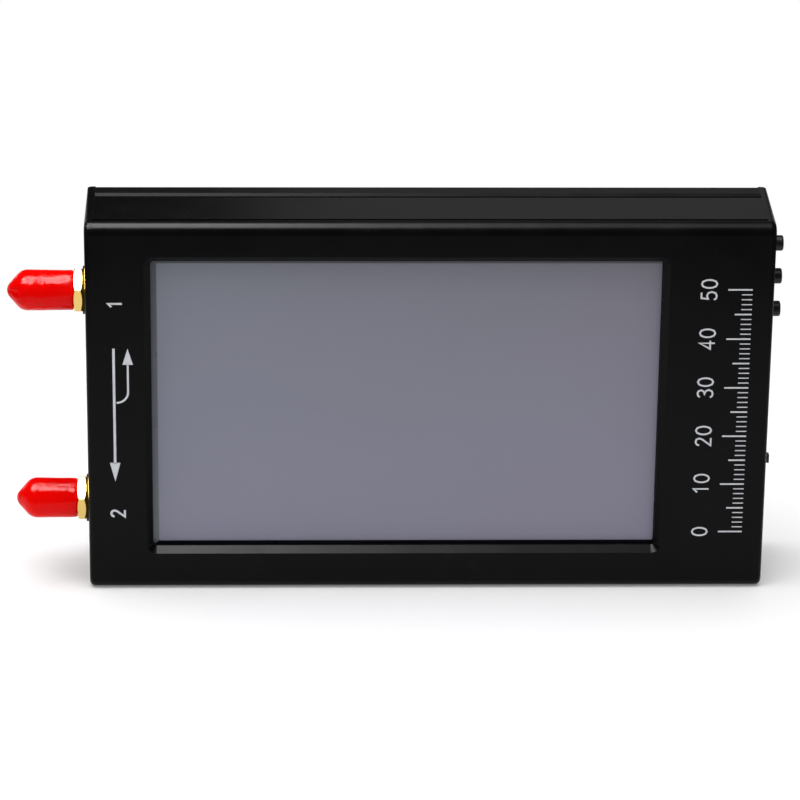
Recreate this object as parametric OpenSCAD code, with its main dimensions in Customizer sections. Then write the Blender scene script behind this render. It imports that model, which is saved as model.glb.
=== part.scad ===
// Handheld antenna analyzer, standing on one long edge with its display upright.
// The case is an aluminium front shell and rear cover, closed by a plate at each end. The left
// end carries two threaded coaxial ports under push-on dust caps. The right end carries three
// push buttons, a charge light, a charging socket and a slide switch.
// X runs along the case, Y from the face (negative) to the back, and Z is up.
// The origin is the middle of the long edge that the case stands on.
// The case takes its length, height and depth from what it holds: see the sums under Hidden.

/* [Display] */
// Width of the display module
lcd_width = 105.5; // [92:0.1:120]
// Height of the display module
lcd_height = 67.2; // [60:0.1:76]
// Thickness of the display module
lcd_thickness = 3; // [2.6:0.1:4]
// Thickness of the display's glass
lcd_glass_thickness = 1.4; // [1:0.1:1.6]
// Thickness of the display frame's rim and of its back
lcd_rim = 0.8; // [0.5:0.1:0.9]
// Thickness of the touch panel
touch_thickness = 1.1; // [0.7:0.1:2]
// Margin of the touch panel inside the display's outline
touch_margin = 0.4; // [0.2:0.1:1]
// Thickness of the foam gasket behind the face
gasket_thickness = 0.4; // [0.3:0.1:1]
// Distance that the gasket stays back from the window's edge
gasket_reveal = 0.5; // [0.2:0.1:1]
// Thickness of the foam strips between the display and the board
foam_thickness = 1.4; // [1.2:0.1:2]
// Width of the foam strips
foam_width = 6; // [4:0.5:12]
// Distance of the foam strips from the display's top and bottom
foam_inset_z = 7; // [4:0.5:12]
// Distance of the foam strips from the display's left and right
foam_inset_x = 12; // [6:0.5:20]
// Room between the display and the lower long wall
lcd_room_below = 2.6; // [2.2:0.1:5]
// Room between the display and the upper long wall
lcd_room_above = 1.6; // [0.5:0.1:5]
// Room between the display and the left posts
lcd_room_left = 0.5; // [0.3:0.1:5]
// Room between the display and the right posts
lcd_room_right = 2.5; // [0.5:0.1:10]
// Width of the display's flex cable
lcd_flex_width = 20.5; // [12:0.5:24]
// Width of the touch panel's flex cable
touch_flex_width = 5; // [4:0.5:8]
// Distance between the two flex cables
flex_gap = 5.5; // [4:0.1:12]
// Thickness of both flex cables
flex_thickness = 0.2; // [0.1:0.05:0.3]
// Bend radius of both flex cables
flex_bend = 1; // [0.8:0.1:1.2]

/* [Window] */
// How far the face covers the display at its left and right
window_border_x = 4.4; // [3:0.1:8]
// How far the face covers the display at its top and bottom
window_border_z = 4.3; // [3:0.1:8]
// Width and depth of the window's bevel
window_bevel = 1.2; // [0.6:0.1:1.8]
// Corner radius of the window inside the bevel
window_corner = 0.7; // [0.4:0.1:2]

/* [Case] */
// Thickness of the face around the window
face_thickness = 2.2; // [1.9:0.1:3]
// Thickness of the long walls and of the back
wall = 1.8; // [1.5:0.1:2.4]
// Radius along the long front edges
front_radius = 2.2; // [1.2:0.1:2.6]
// Radius along the long back edges
back_radius = 1.5; // [0.8:0.1:2.2]
// Width of the fine groove beside the front radius
trim_groove_width = 0.9; // [0.4:0.1:1.2]
// Depth of the fine groove
trim_groove_depth = 0.5; // [0.2:0.1:0.8]
// Width of the flat between the front radius and the fine groove
trim_groove_flat = 0.15; // [0.1:0.05:1]
// Depth of the rear cover from the back to the parting groove
cover_depth = 7; // [6.2:0.1:7.8]
// Depth of the parting groove
groove_depth = 0.9; // [0.75:0.05:1.1]
// Width of the floor of the parting groove
groove_width = 2; // [1:0.1:2.4]
// Height of the bevel behind the parting groove
cover_bevel = 0.5; // [0.3:0.1:0.7]
// Length of the rear cover's tongue inside the front shell
tongue_length = 1.5; // [1:0.1:3]
// Gap between the tongue and the front shell
seam_clearance = 0.05; // [0.02:0.01:0.1]

/* [End plates] */
// Thickness of each end plate
end_plate_thickness = 1.5; // [1.3:0.1:2]
// Radius around the outer edge of each end plate, at its front
end_plate_edge = 1; // [0.4:0.1:1.1]
// How far the same radius reaches in at the back
end_plate_back_edge = 0.3; // [0.1:0.1:0.6]
// Radius of the back corners of each end plate
end_plate_back_radius = 1; // [0.8:0.1:1.5]
// Distance of the end screws from the face and from the back
end_screw_inset_y = 4.6; // [4.2:0.1:5.2]
// Distance of the end screws from the top and from the bottom
end_screw_inset_z = 4.4; // [4:0.1:5]
// Outer diameter of the end screws' threads
end_screw_diameter = 2.2; // [1.8:0.1:2.5]
// Diameter of the end screws' flat heads
end_screw_head = 4.2; // [3.6:0.1:4.6]
// Length of the end screws with their heads
end_screw_length = 6; // [5:0.5:6.5]
// Diameter of the bosses that take the end screws
boss_diameter = 4.4; // [3.8:0.1:4.9]
// How far the bosses reach beyond the tips of the end screws
boss_reach = 0.8; // [0.2:0.1:1]

/* [Main board] */
// Thickness of the main board
board_thickness = 1.6; // [1:0.1:2]
// Gap between the main board and the long walls
board_gap_z = 1.2; // [0.8:0.1:1.6]
// Gap between the main board and the right end plate
board_gap_x = 1; // [0.6:0.1:1.6]
// Diameter of the four board posts
post_diameter = 4.2; // [3.6:0.1:4.8]
// Distance of the left posts from the board's left edge
post_edge = 2.2; // [1.9:0.1:4]
// Gap between a port's flange and the left post next to it
left_post_gap = 4.9; // [1:0.1:7]
// Distance of the right posts from the top and bottom of the case
right_post_inset = 6.4; // [5.5:0.1:9]
// Outer diameter of the board screws' threads
board_screw_diameter = 1.7; // [1.4:0.1:2]
// Diameter of the board screws' heads
board_screw_head = 3.6; // [3:0.1:4]
// Height of the board screws' heads
board_screw_head_height = 1.2; // [0.8:0.1:1.6]
// Length of the board screws under their heads
board_screw_length = 5.5; // [4:0.5:6]
// Room between the board and the battery
component_room = 4.4; // [3.8:0.1:8]
// Distance of the shield cans from the board's left edge
shield_inset = 6; // [4.5:0.1:12]
// Width of the shield cans, along the case
shield_width = 24; // [16:0.5:28]
// Height of the shield cans, up the case
shield_height = 21; // [16:0.5:24]
// How far the shield cans stand off the board
shield_rise = 2.6; // [2:0.1:3]
// Sheet thickness of the shield cans
shield_sheet = 0.3; // [0.2:0.05:0.4]
// Diameter of the holes in the shield cans
vent_diameter = 1.6; // [1:0.1:2]
// Side of the two receiver chips in each shield can
receiver_side = 5; // [3:0.5:7]
// Thickness of the chips
chip_thickness = 1.2; // [0.8:0.1:1.6]
// Side of the controller chip
controller_side = 14; // [10:0.5:16]
// Side of the logic chip
logic_side = 10; // [7:0.5:12]
// Width of the memory chip
memory_width = 6; // [4:0.5:8]
// Height of the memory chip
memory_height = 5; // [4:0.5:8]
// Gap between neighbours in the row of chips
chip_gap = 8; // [3:0.5:10]
// How far the row of chips lies above the middle of the case
chip_row_rise = 6; // [4:0.5:8]
// Width of the reference oscillator
oscillator_width = 5; // [3:0.1:7]
// Height of the reference oscillator
oscillator_height = 3.2; // [2:0.1:5]
// Side of the power inductors
inductor_side = 5; // [3:0.1:6]
// How far the power inductors stand off the board
inductor_rise = 3; // [1.5:0.1:3.5]
// Gap between the power inductors, and from them to the battery header
inductor_gap = 3; // [1:0.1:5]
// Height of both flex connectors, up the case
connector_height = 4; // [3:0.1:6]
// How far both flex connectors stand off the board
connector_rise = 1.5; // [1.2:0.1:2]
// Margin of both flex connectors beside their cables
connector_margin = 1.5; // [1:0.1:1.9]
// How deep the flex cables sit in their connectors
connector_seat = 1.5; // [1:0.1:2.5]
// How far the notch for the flex cables reaches above the display's lower edge
flex_notch_rise = 3; // [1:0.1:5]

/* [Battery] */
// Length of the battery pouch
battery_length = 76; // [60:1:86]
// Height of the battery pouch
battery_height = 48; // [36:1:54]
// Thickness of the battery pouch
battery_thickness = 5.8; // [4:0.1:8]
// Corner radius of the battery pouch
battery_corner = 1.5; // [1:0.1:3]
// How far the battery lies left of the middle of the case
battery_shift = 2; // [0:0.5:5]
// Width of the protection strip at the end of the battery
battery_strip = 4; // [3:0.5:6]
// Thickness of the tape that holds the battery to the rear cover
battery_tape_thickness = 0.3; // [0.2:0.1:1]
// Width of the two pieces of tape
battery_tape_width = 15; // [8:0.5:25]
// Outer diameter of the battery leads
lead_diameter = 1.2; // [0.8:0.1:1.4]
// Distance between the battery leads
lead_pitch = 2.5; // [2:0.1:3.5]
// Bend radius of the battery leads
lead_bend = 1.8; // [1.5:0.1:2.1]
// Straight length of the battery leads before their bend
lead_run = 3.6; // [3:0.1:6]
// Width of the battery plug
plug_width = 4.1; // [3.5:0.1:5]
// How far the battery header stands off the board
header_rise = 3.4; // [2.5:0.1:4.2]
// Thickness of the battery header's walls and floor
header_wall = 0.6; // [0.4:0.1:1]

/* [Coaxial ports] */
// Distance of the upper port from the top and of the lower port from the bottom
port_inset = 16; // [14:0.1:18]
// Outer diameter of the ports' threads
port_thread_diameter = 6.35; // [5.6:0.05:7.1]
// Pitch of the ports' threads
port_thread_pitch = 0.7; // [0.5:0.05:1]
// Depth of the ports' threads
port_thread_depth = 0.35; // [0.2:0.05:0.45]
// How far the ports reach out of the end plate
port_reach = 7.9; // [7:0.1:9]
// Side of the ports' square flange inside the case
port_flange = 8; // [7:0.1:9]
// Thickness of the ports' flange
port_flange_thickness = 1.6; // [1.2:0.1:2]
// Diameter of the ports' insulators
port_insulator_diameter = 4.1; // [3.6:0.1:4.6]
// Diameter of the ports' centre contacts
port_contact_diameter = 1.27; // [1.1:0.01:1.5]
// Diameter of the socket in the centre contacts
port_socket_diameter = 0.93; // [0.7:0.01:1.05]
// Diameter of the solder pins behind the centre contacts
port_pin_diameter = 0.84; // [0.7:0.02:1]
// Length of the legs that grip the main board
port_leg_length = 3.4; // [2.5:0.1:3.9]
// Side of the legs that grip the main board
port_leg = 1.1; // [0.8:0.1:1.3]
// Diameter of the lock washers
washer_diameter = 9.2; // [8.2:0.1:10.4]
// Thickness of the lock washers
washer_thickness = 0.6; // [0.4:0.1:0.8]
// Distance across the flats of the hexagon nuts
nut_across_flats = 8; // [7.1:0.1:9]
// Thickness of the hexagon nuts
nut_thickness = 1.7; // [1.4:0.1:2.2]
// Size of the chamfers on the corners of the hexagon nuts
nut_chamfer = 0.35; // [0.2:0.05:0.5]

/* [Dust caps] */
// Length of the dust cap on the upper port
cap_1_length = 12.6; // [11:0.1:15]
// Length of the dust cap on the lower port
cap_2_length = 11.7; // [10.3:0.1:15]
// Wall thickness of the dust caps
cap_wall = 0.7; // [0.4:0.05:0.9]
// Running clearance between a dust cap and the thread
cap_clearance = 0.04; // [0.02:0.01:0.08]
// Gap between a dust cap and the nut
cap_gap = 0.1; // [0.05:0.05:0.5]
// Shoulder radius of the dust caps
cap_shoulder = 2.7; // [1.5:0.1:3.2]
// Radius of the dust caps' tips
cap_tip = 2; // [0.8:0.1:2.5]
// Angle between the dust caps' noses and their axis
cap_nose_angle = 49; // [40:1:60]
// How much narrower the dust caps are at their rims, on each side
cap_draft = 0.1; // [0:0.05:0.2]

/* [Buttons] */
// Distance of the top button from the top of the case
top_button_inset = 7.9; // [6.9:0.1:12]
// Distance between the push buttons
button_pitch = 6.7; // [5.9:0.1:7.6]
// Diameter of the push buttons
button_diameter = 3; // [2.6:0.1:3.4]
// How far the push buttons stand out of the end plate
button_reach = 2.6; // [1.5:0.1:4]
// Travel of the push buttons
button_travel = 0.3; // [0.2:0.05:0.4]
// Running clearance around the push buttons
button_clearance = 0.1; // [0.05:0.01:0.1]
// Radius around the tips of the push buttons
button_edge = 0.35; // [0.1:0.05:0.5]
// Width of the collars that keep the push buttons in
button_collar = 0.6; // [0.3:0.05:0.7]
// How deep the push buttons reach into their switches
button_depth = 1.2; // [0.8:0.1:2]
// Gap between neighbouring button switches
tact_gap = 0.7; // [0.4:0.1:1.5]
// How far the button switches stand off the board
tact_rise = 3.8; // [3.6:0.1:4.3]
// Depth of the button switches, along the case
tact_depth = 4.2; // [3.5:0.1:6]
// Gap between the button switches and the end plate
tact_end_gap = 1; // [0.85:0.05:1.5]
// Room between the right posts and the button switches
switch_room = 3.2; // [1:0.1:10]

/* [Light, socket and slide switch] */
// Gap between the lowest button switch and the charge light
light_gap = 3.9; // [1:0.1:5]
// Side of the charge light
led_side = 1.6; // [1:0.1:2]
// How far the charge light stands off the board
led_rise = 2.6; // [2.4:0.1:3]
// Diameter of the charge light's window
light_diameter = 1.8; // [1.2:0.1:2.1]
// Gap between the charge light and the charging socket
socket_gap = 2.2; // [1:0.1:4]
// Width of the charging socket's shell
socket_width = 8.94; // [7.9:0.02:10]
// Thickness of the charging socket's shell over its flats
socket_depth = 3.16; // [2.8:0.02:3.5]
// Length of the charging socket
socket_length = 7.3; // [6.4:0.1:9]
// Sheet thickness of the charging socket's shell
socket_sheet = 0.3; // [0.2:0.05:0.35]
// Thickness of the charging socket's tongue
socket_tongue = 0.7; // [0.5:0.05:0.8]
// How far the charging socket stays back from the end plate's outer face
socket_setback = 0.15; // [0.05:0.05:0.5]
// Gap between the charging socket and the slide switch
slide_gap = 6; // [1:0.1:8]
// Length of the slide switch's body, up the case
slide_length = 9; // [7.9:0.1:12]
// How far the slide switch's body stands off the board
slide_rise = 3.6; // [3.3:0.1:4.2]
// Depth of the slide switch's body, along the case
slide_depth = 4; // [3.4:0.1:5]
// Thickness of the slide switch's walls
slide_wall = 0.5; // [0.4:0.05:0.6]
// Travel of the slide switch's knob
knob_travel = 2; // [1.5:0.1:2.5]
// Size of the knob along its travel
knob_length = 1.6; // [1.2:0.1:2]
// Size of the knob across its travel
knob_width = 1.5; // [1:0.1:1.7]
// How far the knob stands out of the end plate
knob_reach = 1.8; // [1:0.1:3]
// How far the knob's foot reaches beyond the knob on each side
knob_foot = 0.45; // [0.3:0.05:0.55]
// Running clearance around the knob
knob_clearance = 0.1; // [0.05:0.01:0.15]

/* [Hidden] */

$fn = 48;

// Cuts reach this far past the faces that they open
cut = 1;
// Gap between neighbours that are assembled with a light fit
fit = 0.02;
// Gap around a screw's thread, and around its head
screw_play = 0.1;
// Gap between the charging socket and the end plate
socket_play = 0.15;

// The case in length: port flange, left post, display, right post, button switches
shell_length = port_flange_thickness + post_edge + post_diameter / 2 + lcd_room_left
    + lcd_width + lcd_room_right + post_diameter + switch_room + tact_depth + tact_end_gap;
shell_x = shell_length / 2;
end_x = shell_x + end_plate_thickness;

// The case in height: two walls and the display
lcd_bottom = wall + lcd_room_below;
case_height = lcd_bottom + lcd_height + lcd_room_above + wall;
mid_z = case_height / 2;

// The case in depth: face, display stack, board, battery and back
stack_depth = gasket_thickness + touch_thickness + lcd_thickness + foam_thickness;
case_depth = face_thickness + stack_depth + board_thickness + component_room
    + battery_thickness + battery_tape_thickness + wall;
front_y = -case_depth / 2;
back_y = case_depth / 2;
face_inner_y = front_y + face_thickness;
back_inner_y = back_y - wall;

// The parting groove and the fine groove
parting_y = back_y - cover_depth;
cover_edge_y = parting_y + groove_width;
tongue_y = parting_y - tongue_length;
trim_groove_y = front_y + front_radius + trim_groove_flat;

// The end screws and their bosses
boss_front_y = front_y + end_screw_inset_y;
boss_back_y = back_y - end_screw_inset_y;
boss_length = end_screw_length - end_plate_thickness + boss_reach;
end_screw_cone = (end_screw_head - end_screw_diameter) / 2;
bore_diameter = end_screw_diameter + 2 * fit;

// The display stack, from the face inwards
touch_y = face_inner_y + gasket_thickness;
lcd_y = touch_y + touch_thickness;
lcd_back_y = lcd_y + lcd_thickness;
touch_width = lcd_width - 2 * touch_margin;
touch_height = lcd_height - 2 * touch_margin;
glass_width = lcd_width - 2 * lcd_rim - 2 * fit;
glass_height = lcd_height - 2 * lcd_rim - 2 * fit;
board_left = -shell_x + port_flange_thickness;
left_post_x = board_left + post_edge;
lcd_left = left_post_x + post_diameter / 2 + lcd_room_left;
lcd_right = lcd_left + lcd_width;
window_x = lcd_left + lcd_width / 2;
window_z = lcd_bottom + lcd_height / 2;
opening_width = lcd_width - 2 * window_border_x;
opening_height = lcd_height - 2 * window_border_z;

// The main board and its posts
board_y = lcd_back_y + foam_thickness;
board_back_y = board_y + board_thickness;
board_right = shell_x - board_gap_x;
board_bottom = wall + board_gap_z;
board_top = case_height - wall - board_gap_z;
right_post_x = lcd_right + lcd_room_right + post_diameter / 2;
port_z = [case_height - port_inset, port_inset];
left_post_offset = port_flange / 2 + left_post_gap + post_diameter / 2;
post_places = [
    [left_post_x, port_z[1] + left_post_offset],
    [left_post_x, port_z[0] - left_post_offset],
    [right_post_x, right_post_inset],
    [right_post_x, case_height - right_post_inset]
];

// The shield cans, level with the ports as far as the board allows, and the row of chips
shield_x = board_left + shield_inset + shield_width / 2;
shield_z = [
    min(port_z[0], board_top - shield_height / 2 - fit),
    max(port_z[1], board_bottom + shield_height / 2 + fit)
];
controller_x = shield_x + shield_width / 2 + chip_gap + controller_side / 2;
logic_x = controller_x + controller_side / 2 + chip_gap + logic_side / 2;
memory_x = logic_x + logic_side / 2 + chip_gap + memory_width / 2;
chip_row_z = mid_z + chip_row_rise;
oscillator_z = chip_row_z - logic_side / 2 - chip_gap / 2 - oscillator_height / 2;

// The flex cables drop below the display, pass a notch in the board and rise behind it
flex_back_y = board_back_y + connector_rise / 2;
flex_low_z = wall + flex_thickness / 2 + 0.6;
flex_notch_top = lcd_bottom + flex_notch_rise;
flex_connector_z = flex_notch_top + connector_seat;
lcd_flex_x = window_x;
touch_flex_x = lcd_flex_x + lcd_flex_width / 2 + flex_gap + touch_flex_width / 2;

// The battery, held to the rear cover, with its plug and leads
battery_back_y = back_inner_y - battery_tape_thickness;
battery_front_y = battery_back_y - battery_thickness;
battery_x = -battery_shift;
battery_right = battery_x + battery_length / 2;
strip_right = battery_right + battery_strip;
lead_back_y = battery_back_y - battery_thickness / 4;
lead_bend_y = lead_back_y - lead_bend;
header_x = strip_right + lead_run + lead_bend;
plug_length = lead_pitch + plug_width;
plug_back_y = lead_bend_y - 0.5;
plug_bore_y = plug_back_y - 1.5;
header_length = plug_length + 2 * header_wall + 2 * fit;
header_width = plug_width + 2 * header_wall + 2 * fit;
inductor_x = header_x;
inductor_z = [
    for (i = [0, 1])
        mid_z - header_length / 2 - (i + 1) * inductor_gap - (i + 0.5) * inductor_side
];

// The coaxial ports. Their solder pins lie on the front of the board.
port_y = board_y - port_pin_diameter / 2;
port_hole = port_thread_diameter + screw_play;
flange_inner = -end_plate_thickness - port_flange_thickness;
nut_outer = washer_thickness + nut_thickness;
cap_start = nut_outer + cap_gap;
cap_bore = port_thread_diameter + 2 * cap_clearance;
cap_radius = cap_bore / 2 + cap_wall;

// The buttons and their switches, from the top down
tact_width = button_pitch - tact_gap;
tact_y = board_back_y + tact_rise / 2;
tact_front_x = shell_x - tact_end_gap;
button_z = [for (i = [0 : 2]) case_height - top_button_inset - i * button_pitch];
button_hole = button_diameter + 2 * button_clearance;
button_stop = 0.05;

// The charge light, the charging socket and the slide switch, from the top down
light_y = board_back_y + led_rise / 2;
light_z = button_z[2] - tact_width / 2 - light_gap - led_side / 2;
socket_y = board_back_y + socket_depth / 2;
socket_z = light_z - led_side / 2 - socket_gap - socket_width / 2;
socket_front_x = end_x - socket_setback;
socket_rear_x = socket_front_x - socket_length;
slide_y = board_back_y + slide_rise / 2;
slide_z = socket_z - socket_width / 2 - slide_gap - slide_length / 2;
slide_front_x = shell_x - 0.4;
slide_pocket = [slide_front_x - slide_depth + slide_wall, slide_front_x - slide_wall];
foot_length = knob_length + 2 * knob_foot;
foot_width = knob_width + 2 * knob_foot;
knob_z = slide_z - knob_travel / 2;

// ---- helpers ----

// A section drawn in Y and Z, extruded along X
module along_x(x0, x1) {
    translate([x0, 0, 0])
        rotate([90, 0, 90])
            linear_extrude(height = x1 - x0)
                children();
}

// A plan drawn in X and Z, extruded along Y
module along_y(y0, y1) {
    translate([0, y1, 0])
        rotate([90, 0, 0])
            linear_extrude(height = y1 - y0)
                children();
}

// A round rod along X
module rod_x(d, x0, x1) {
    translate([x0, 0, 0])
        rotate([0, 90, 0])
            cylinder(d = d, h = x1 - x0);
}

// A round rod along Y
module rod_y(d, y0, y1) {
    translate([0, y0, 0])
        rotate([-90, 0, 0])
            cylinder(d = d, h = y1 - y0);
}

// A block between two corners
module block(low, high) {
    translate(low)
        cube(high - low);
}

// A centred rectangle with round corners
module round_rect(w, h, r) {
    square([w - 2 * r, h], center = true);
    square([w, h - 2 * r], center = true);
    for (sx = [-1, 1], sy = [-1, 1])
        translate([sx * (w / 2 - r), sy * (h / 2 - r)])
            circle(r = r);
}

// A profile drawn as radius and distance, turned round the X axis
module turned() {
    rotate([90, 0, 90])
        rotate_extrude($fn = 64)
            children();
}

// Points of an arc round a centre, as radius and distance along the axis
function arc(r, centre_r, centre_x, from, to, steps = 8) = [
    for (i = [0 : steps])
        let (a = from + (to - from) * i / steps)
            [centre_r + r * cos(a), centre_x + r * sin(a)]
];

// The same piece at both ends of the case
module both_ends() {
    children();
    mirror([1, 0, 0])
        children();
}

// The same section at the bottom and at the top of the case
module both_edges() {
    children();
    translate([0, case_height])
        mirror([0, 1])
            children();
}

// The section of the whole case, drawn in Y and Z
module case_section() {
    rf = front_radius;
    rb = back_radius;
    translate([front_y + rf, 0])
        square([case_depth - rf - rb, case_height]);
    translate([front_y, rf])
        square([rf + cut, case_height - 2 * rf]);
    translate([back_y - rb - cut, rb])
        square([rb + cut, case_height - 2 * rb]);
    for (z = [rf, case_height - rf])
        translate([front_y + rf, z])
            circle(r = rf);
    for (z = [rb, case_height - rb])
        translate([back_y - rb, z])
            circle(r = rb);
}

// A screw boss in the corner between the flat wall at wall_y and the long wall
module boss_section(y, wall_y) {
    r = boss_diameter / 2;
    z = end_screw_inset_z;
    both_edges() {
        translate([y, z])
            circle(d = boss_diameter);
        translate([y - r, wall / 2])
            square([boss_diameter, z - wall / 2]);
        translate([min(y, wall_y), z - r])
            square([abs(y - wall_y), boss_diameter]);
    }
}

// Places its children on the axis of each end screw of a pair
module at_boss_pair(y) {
    for (z = [end_screw_inset_z, case_height - end_screw_inset_z])
        translate([0, y, z])
            children();
}

// Pilot bores for one pair of end screws at each end
module boss_bores(y) {
    both_ends()
        at_boss_pair(y)
            rod_x(bore_diameter, shell_x - boss_length - cut, shell_x + cut);
}

// ---- case ----

module front_shell_section() {
    lip = groove_depth - seam_clearance;
    difference() {
        case_section();
        translate([parting_y, -cut])
            square([case_depth, case_height + 2 * cut]);
        translate([face_inner_y, wall])
            square([case_depth, case_height - 2 * wall]);
        translate([tongue_y - seam_clearance, lip])
            square([case_depth, case_height - 2 * lip]);
        both_edges()
            translate([trim_groove_y, -cut])
                square([trim_groove_width, trim_groove_depth + cut]);
    }
}

// The window: a straight opening behind a bevel that runs round it
module window_cut() {
    over = 0.2;
    w1 = opening_width / 2;
    h1 = opening_height / 2;
    w0 = w1 + window_bevel + over;
    h0 = h1 + window_bevel + over;
    y0 = front_y - over;
    y1 = front_y + window_bevel;
    translate([window_x, 0, window_z]) {
        along_y(y0, face_inner_y + cut)
            round_rect(opening_width, opening_height, window_corner);
        translate([0, 0, window_corner - h1])
            linear_extrude(height = 2 * (h1 - window_corner))
                polygon([[-w0, y0], [w0, y0], [w1, y1], [-w1, y1]]);
        along_x(window_corner - w1, w1 - window_corner)
            polygon([[y0, -h0], [y0, h0], [y1, h1], [y1, -h1]]);
        for (sx = [-1, 1], sz = [-1, 1])
            translate([sx * (w1 - window_corner), y0, sz * (h1 - window_corner)])
                rotate([-90, 0, 0])
                    cylinder(r1 = window_corner + window_bevel + over, r2 = window_corner,
                             h = y1 - y0);
    }
}

module front_shell() {
    color("#26272a")
        difference() {
            union() {
                along_x(-shell_x, shell_x)
                    front_shell_section();
                both_ends()
                    along_x(shell_x - boss_length, shell_x)
                        boss_section(boss_front_y, face_inner_y - face_thickness / 2);
                for (p = post_places)
                    translate([p.x, 0, p.y])
                        rod_y(post_diameter, face_inner_y - face_thickness / 2, board_y);
            }
            window_cut();
            boss_bores(boss_front_y);
            for (p = post_places)
                translate([p.x, 0, p.y])
                    rod_y(board_screw_diameter + 2 * fit,
                          board_back_y - board_screw_length - 1, board_y + cut);
        }
}

module rear_cover_section() {
    difference() {
        union() {
            intersection() {
                case_section();
                translate([cover_edge_y, -cut])
                    square([case_depth, case_height + 2 * cut]);
            }
            translate([tongue_y, groove_depth])
                square([back_inner_y - tongue_y, case_height - 2 * groove_depth]);
        }
        translate([tongue_y - cut, wall])
            square([back_inner_y - tongue_y + cut, case_height - 2 * wall]);
        both_edges()
            polygon([
                [cover_edge_y - cut, -cut],
                [cover_edge_y + cover_bevel + cut, -cut],
                [cover_edge_y, cover_bevel],
                [cover_edge_y, groove_depth],
                [cover_edge_y - cut, groove_depth]
            ]);
    }
}

module rear_cover() {
    color("#232427")
        difference() {
            union() {
                along_x(-shell_x, shell_x)
                    rear_cover_section();
                both_ends()
                    along_x(shell_x - boss_length, shell_x)
                        boss_section(boss_back_y, back_y - wall / 2);
            }
            boss_bores(boss_back_y);
        }
}

// The outline of an end plate, pulled in by one inset at the front and another at the back
module end_plate_outline(front_inset, back_inset) {
    rf = front_radius;
    rb = end_plate_back_radius;
    for (z = [rf, case_height - rf])
        translate([front_y + rf, z])
            circle(r = rf - front_inset, $fn = 32);
    for (z = [rb, case_height - rb])
        translate([back_y - rb, z])
            circle(r = rb - back_inset, $fn = 32);
}

// The right end plate without its holes, its outer edge rounded in steps
module end_plate_blank() {
    steps = 5;
    slice = 0.01;
    hull()
        for (i = [0 : steps]) {
            x = end_x - end_plate_edge * (1 - sin(90 * i / steps));
            inset = 1 - cos(90 * i / steps);
            along_x(i == 0 ? shell_x : x - slice, x)
                end_plate_outline(end_plate_edge * inset, end_plate_back_edge * inset);
        }
}

// Holes and countersinks for the four screws of the right end plate
module end_screw_holes() {
    for (y = [boss_front_y, boss_back_y])
        at_boss_pair(y) {
            rod_x(end_screw_diameter + 2 * screw_play, shell_x - cut, end_x + cut);
            translate([end_x - end_screw_cone - 1.5 * screw_play, 0, 0])
                rotate([0, 90, 0])
                    cylinder(d1 = end_screw_diameter, d2 = end_screw_head + 3 * screw_play,
                             h = end_screw_cone + 1.5 * screw_play + fit);
        }
}

module left_end_plate() {
    color("#232427")
        difference() {
            mirror([1, 0, 0])
                difference() {
                    end_plate_blank();
                    end_screw_holes();
                }
            for (z = port_z)
                translate([0, port_y, z])
                    rod_x(port_hole, -end_x - cut, -shell_x + cut);
        }
}

module right_end_plate() {
    slot_y = knob_width / 2 + knob_clearance;
    slot_z = (knob_length + knob_travel) / 2 + knob_clearance;
    color("#232427")
        difference() {
            end_plate_blank();
            end_screw_holes();
            for (z = button_z)
                translate([0, tact_y, z])
                    rod_x(button_hole, shell_x - cut, end_x + cut);
            translate([0, light_y, light_z])
                rod_x(light_diameter + 2 * fit, shell_x - cut, end_x + cut);
            block([shell_x - cut, slide_y - slot_y, slide_z - slot_z],
                  [end_x + cut, slide_y + slot_y, slide_z + slot_z]);
            translate([0, socket_y, socket_z])
                along_x(shell_x - cut, end_x + cut)
                    socket_outline(socket_play);
        }
}

// One flat-head end screw, its head just under the right end plate's outer face
module end_screw() {
    head_x = end_x - fit;
    recess = end_screw_head * 0.55;
    slot = recess / 3;
    difference() {
        union() {
            rod_x(end_screw_diameter, head_x - end_screw_length, head_x - end_screw_cone);
            translate([head_x - end_screw_cone, 0, 0])
                rotate([0, 90, 0])
                    cylinder(d1 = end_screw_diameter, d2 = end_screw_head, h = end_screw_cone);
        }
        for (turn = [0, 90])
            rotate([turn, 0, 0])
                translate([head_x, 0, 0])
                    cube([end_screw_cone, recess, slot], center = true);
    }
}

module right_end_screws() {
    color("#3a3b3e")
        for (y = [boss_front_y, boss_back_y])
            at_boss_pair(y)
                end_screw();
}

module left_end_screws() {
    mirror([1, 0, 0])
        right_end_screws();
}

// ---- display ----

// A plate of the display stack, centred on the window
module at_window(w, h, y0, y1) {
    translate([window_x, 0, window_z])
        along_y(y0, y1)
            square([w, h], center = true);
}

module window_gasket() {
    color("#111114")
        difference() {
            at_window(touch_width, touch_height, face_inner_y, touch_y);
            at_window(opening_width + 2 * gasket_reveal, opening_height + 2 * gasket_reveal,
                      face_inner_y - cut, touch_y + cut);
        }
}

module touch_panel() {
    color("#8d8c99")
        at_window(touch_width, touch_height, touch_y, lcd_y);
}

module lcd_glass() {
    color("#77768a")
        at_window(glass_width, glass_height, lcd_y, lcd_y + lcd_glass_thickness);
}

module lcd_backlight() {
    color("#e8e8ea")
        at_window(glass_width, glass_height, lcd_y + lcd_glass_thickness, lcd_back_y - lcd_rim);
}

module lcd_frame() {
    color("#b9bbc0")
        difference() {
            at_window(lcd_width, lcd_height, lcd_y, lcd_back_y);
            at_window(lcd_width - 2 * lcd_rim, lcd_height - 2 * lcd_rim,
                      lcd_y - cut, lcd_back_y - lcd_rim);
        }
}

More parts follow.
